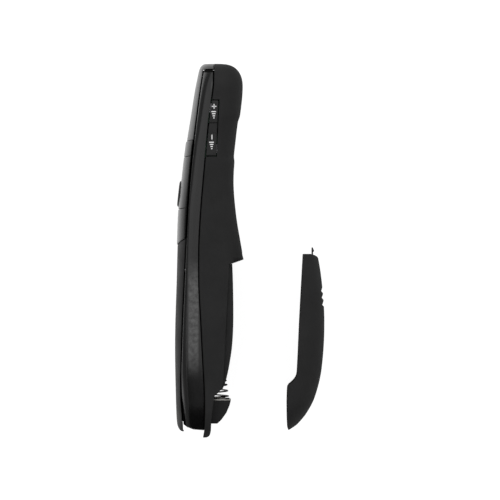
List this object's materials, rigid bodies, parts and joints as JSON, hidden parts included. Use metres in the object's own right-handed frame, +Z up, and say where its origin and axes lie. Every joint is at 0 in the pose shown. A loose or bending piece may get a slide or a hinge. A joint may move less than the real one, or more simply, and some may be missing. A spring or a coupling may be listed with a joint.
{
  "type": "wireless presenter",
  "caption": "Handheld presenter lying on its side with its battery cover slid off behind it, with keys, round pad, volume rocker, laser and stowed receiver.",
  "frame": {"origin": "on the surface it lies on, below the middle of the body's lower side", "axes": "+Y along the body to the laser end, +X from the key face to the back, +Z up from the lower side to the side with the volume rocker"},
  "size_m": [0.0602, 0.1502, 0.038],
  "materials": {
    "rear_shell_black": "fine matte texture",
    "band_gloss": "polished black",
    "panel_gloss": "satin gloss black",
    "panel_matte": "matte black",
    "pad_rubber": "soft-touch black",
    "silicone": "translucent grey silicone",
    "rocker_black": "matte black with white print",
    "inner_plastic": "moulded black",
    "pin_steel": "plain steel",
    "board_fr4": "green solder mask",
    "switch_metal": "pressed steel",
    "cover_black": "fine matte texture",
    "contact_nickel": "nickel plate",
    "chip_epoxy": "moulded epoxy",
    "clear_plastic": "clear light guide",
    "laser_brass": "turned brass",
    "lens_glass": "clear",
    "window_red": "dark red window",
    "receiver_black": "black",
    "receiver_white": "white insulator"
  },
  "bodies": {
    "body": {"rear_housing": "rear_shell_black", "front_housing": "band_gloss", "upper_panel": "panel_gloss", "lower_panel": "panel_matte", "laser_dome": "silicone", "forward_dome": "silicone", "back_dome": "silicone", "pad_dome": "silicone", "key_mat": "silicone", "rocker_bracket": "inner_plastic", "battery_tray": "inner_plastic", "laser_cradle": "inner_plastic", "receiver_bay": "inner_plastic", "rocker_pin": "pin_steel", "housing_screws": "pin_steel", "board_screws": "pin_steel", "volume_board": "board_fr4", "main_board": "board_fr4", "laser_board": "board_fr4", "volume_switches": "switch_metal", "power_switch": "switch_metal", "clock_crystal": "switch_metal", "laser_diode": "switch_metal", "bridge_contact": "contact_nickel", "top_contacts": "contact_nickel", "battery_springs": "contact_nickel", "controller_chip": "chip_epoxy", "radio_chip": "chip_epoxy", "board_parts": "chip_epoxy", "status_led": "clear_plastic", "light_pipe": "clear_plastic", "laser_barrel": "laser_brass", "laser_lens": "lens_glass", "laser_window": "window_red"},
    "laser_key": {"laser_key": "panel_gloss"},
    "forward_key": {"forward_key": "panel_gloss"},
    "back_key": {"back_key": "panel_gloss"},
    "pad_key": {"pad_key": "pad_rubber"},
    "volume_rocker": {"volume_rocker": "rocker_black"},
    "power_slider": {"power_slider": "inner_plastic"},
    "battery_cover": {"battery_cover": "cover_black", "cover_latch": "inner_plastic"},
    "receiver": {"receiver_body": "receiver_black", "receiver_plug": "contact_nickel", "receiver_contacts": "receiver_white"}
  },
  "joints": [
    {"name": "laser_key_press", "type": "slide", "parent": "body", "child": "laser_key", "axis": [1, 0, 0], "range_m": [0, 0.0006], "stiffness_N_per_m": 900, "deforming": ["laser_dome"]},
    {"name": "forward_key_press", "type": "slide", "parent": "body", "child": "forward_key", "axis": [1, 0, 0], "range_m": [0, 0.0006], "stiffness_N_per_m": 900, "deforming": ["forward_dome"]},
    {"name": "back_key_press", "type": "slide", "parent": "body", "child": "back_key", "axis": [1, 0, 0], "range_m": [0, 0.0006], "stiffness_N_per_m": 900, "deforming": ["back_dome"]},
    {"name": "pad_key_press", "type": "slide", "parent": "body", "child": "pad_key", "axis": [1, 0, 0], "range_m": [0, 0.0006], "stiffness_N_per_m": 900, "deforming": ["pad_dome"]},
    {"name": "volume_rock", "type": "hinge", "parent": "body", "child": "volume_rocker", "pos_m": [0, 0.0492, 0.035], "axis": [1, 0, 0], "range_deg": [-3, 3], "stiffness_Nm_per_rad": 0.25},
    {"name": "power_slide", "type": "slide", "parent": "body", "child": "power_slider", "axis": [0, 1, 0], "range_m": [0, 0.004]},
    {"name": "cover_slide", "type": "slide", "parent": "body", "child": "battery_cover", "axis": [-0.9899, -0.1414, 0], "range_m": [0, 0.0297], "deforming": ["cover_latch"]},
    {"name": "receiver_slide", "type": "slide", "parent": "body", "child": "receiver", "axis": [0, -1, 0], "range_m": [0, 0.036]}
  ]
}
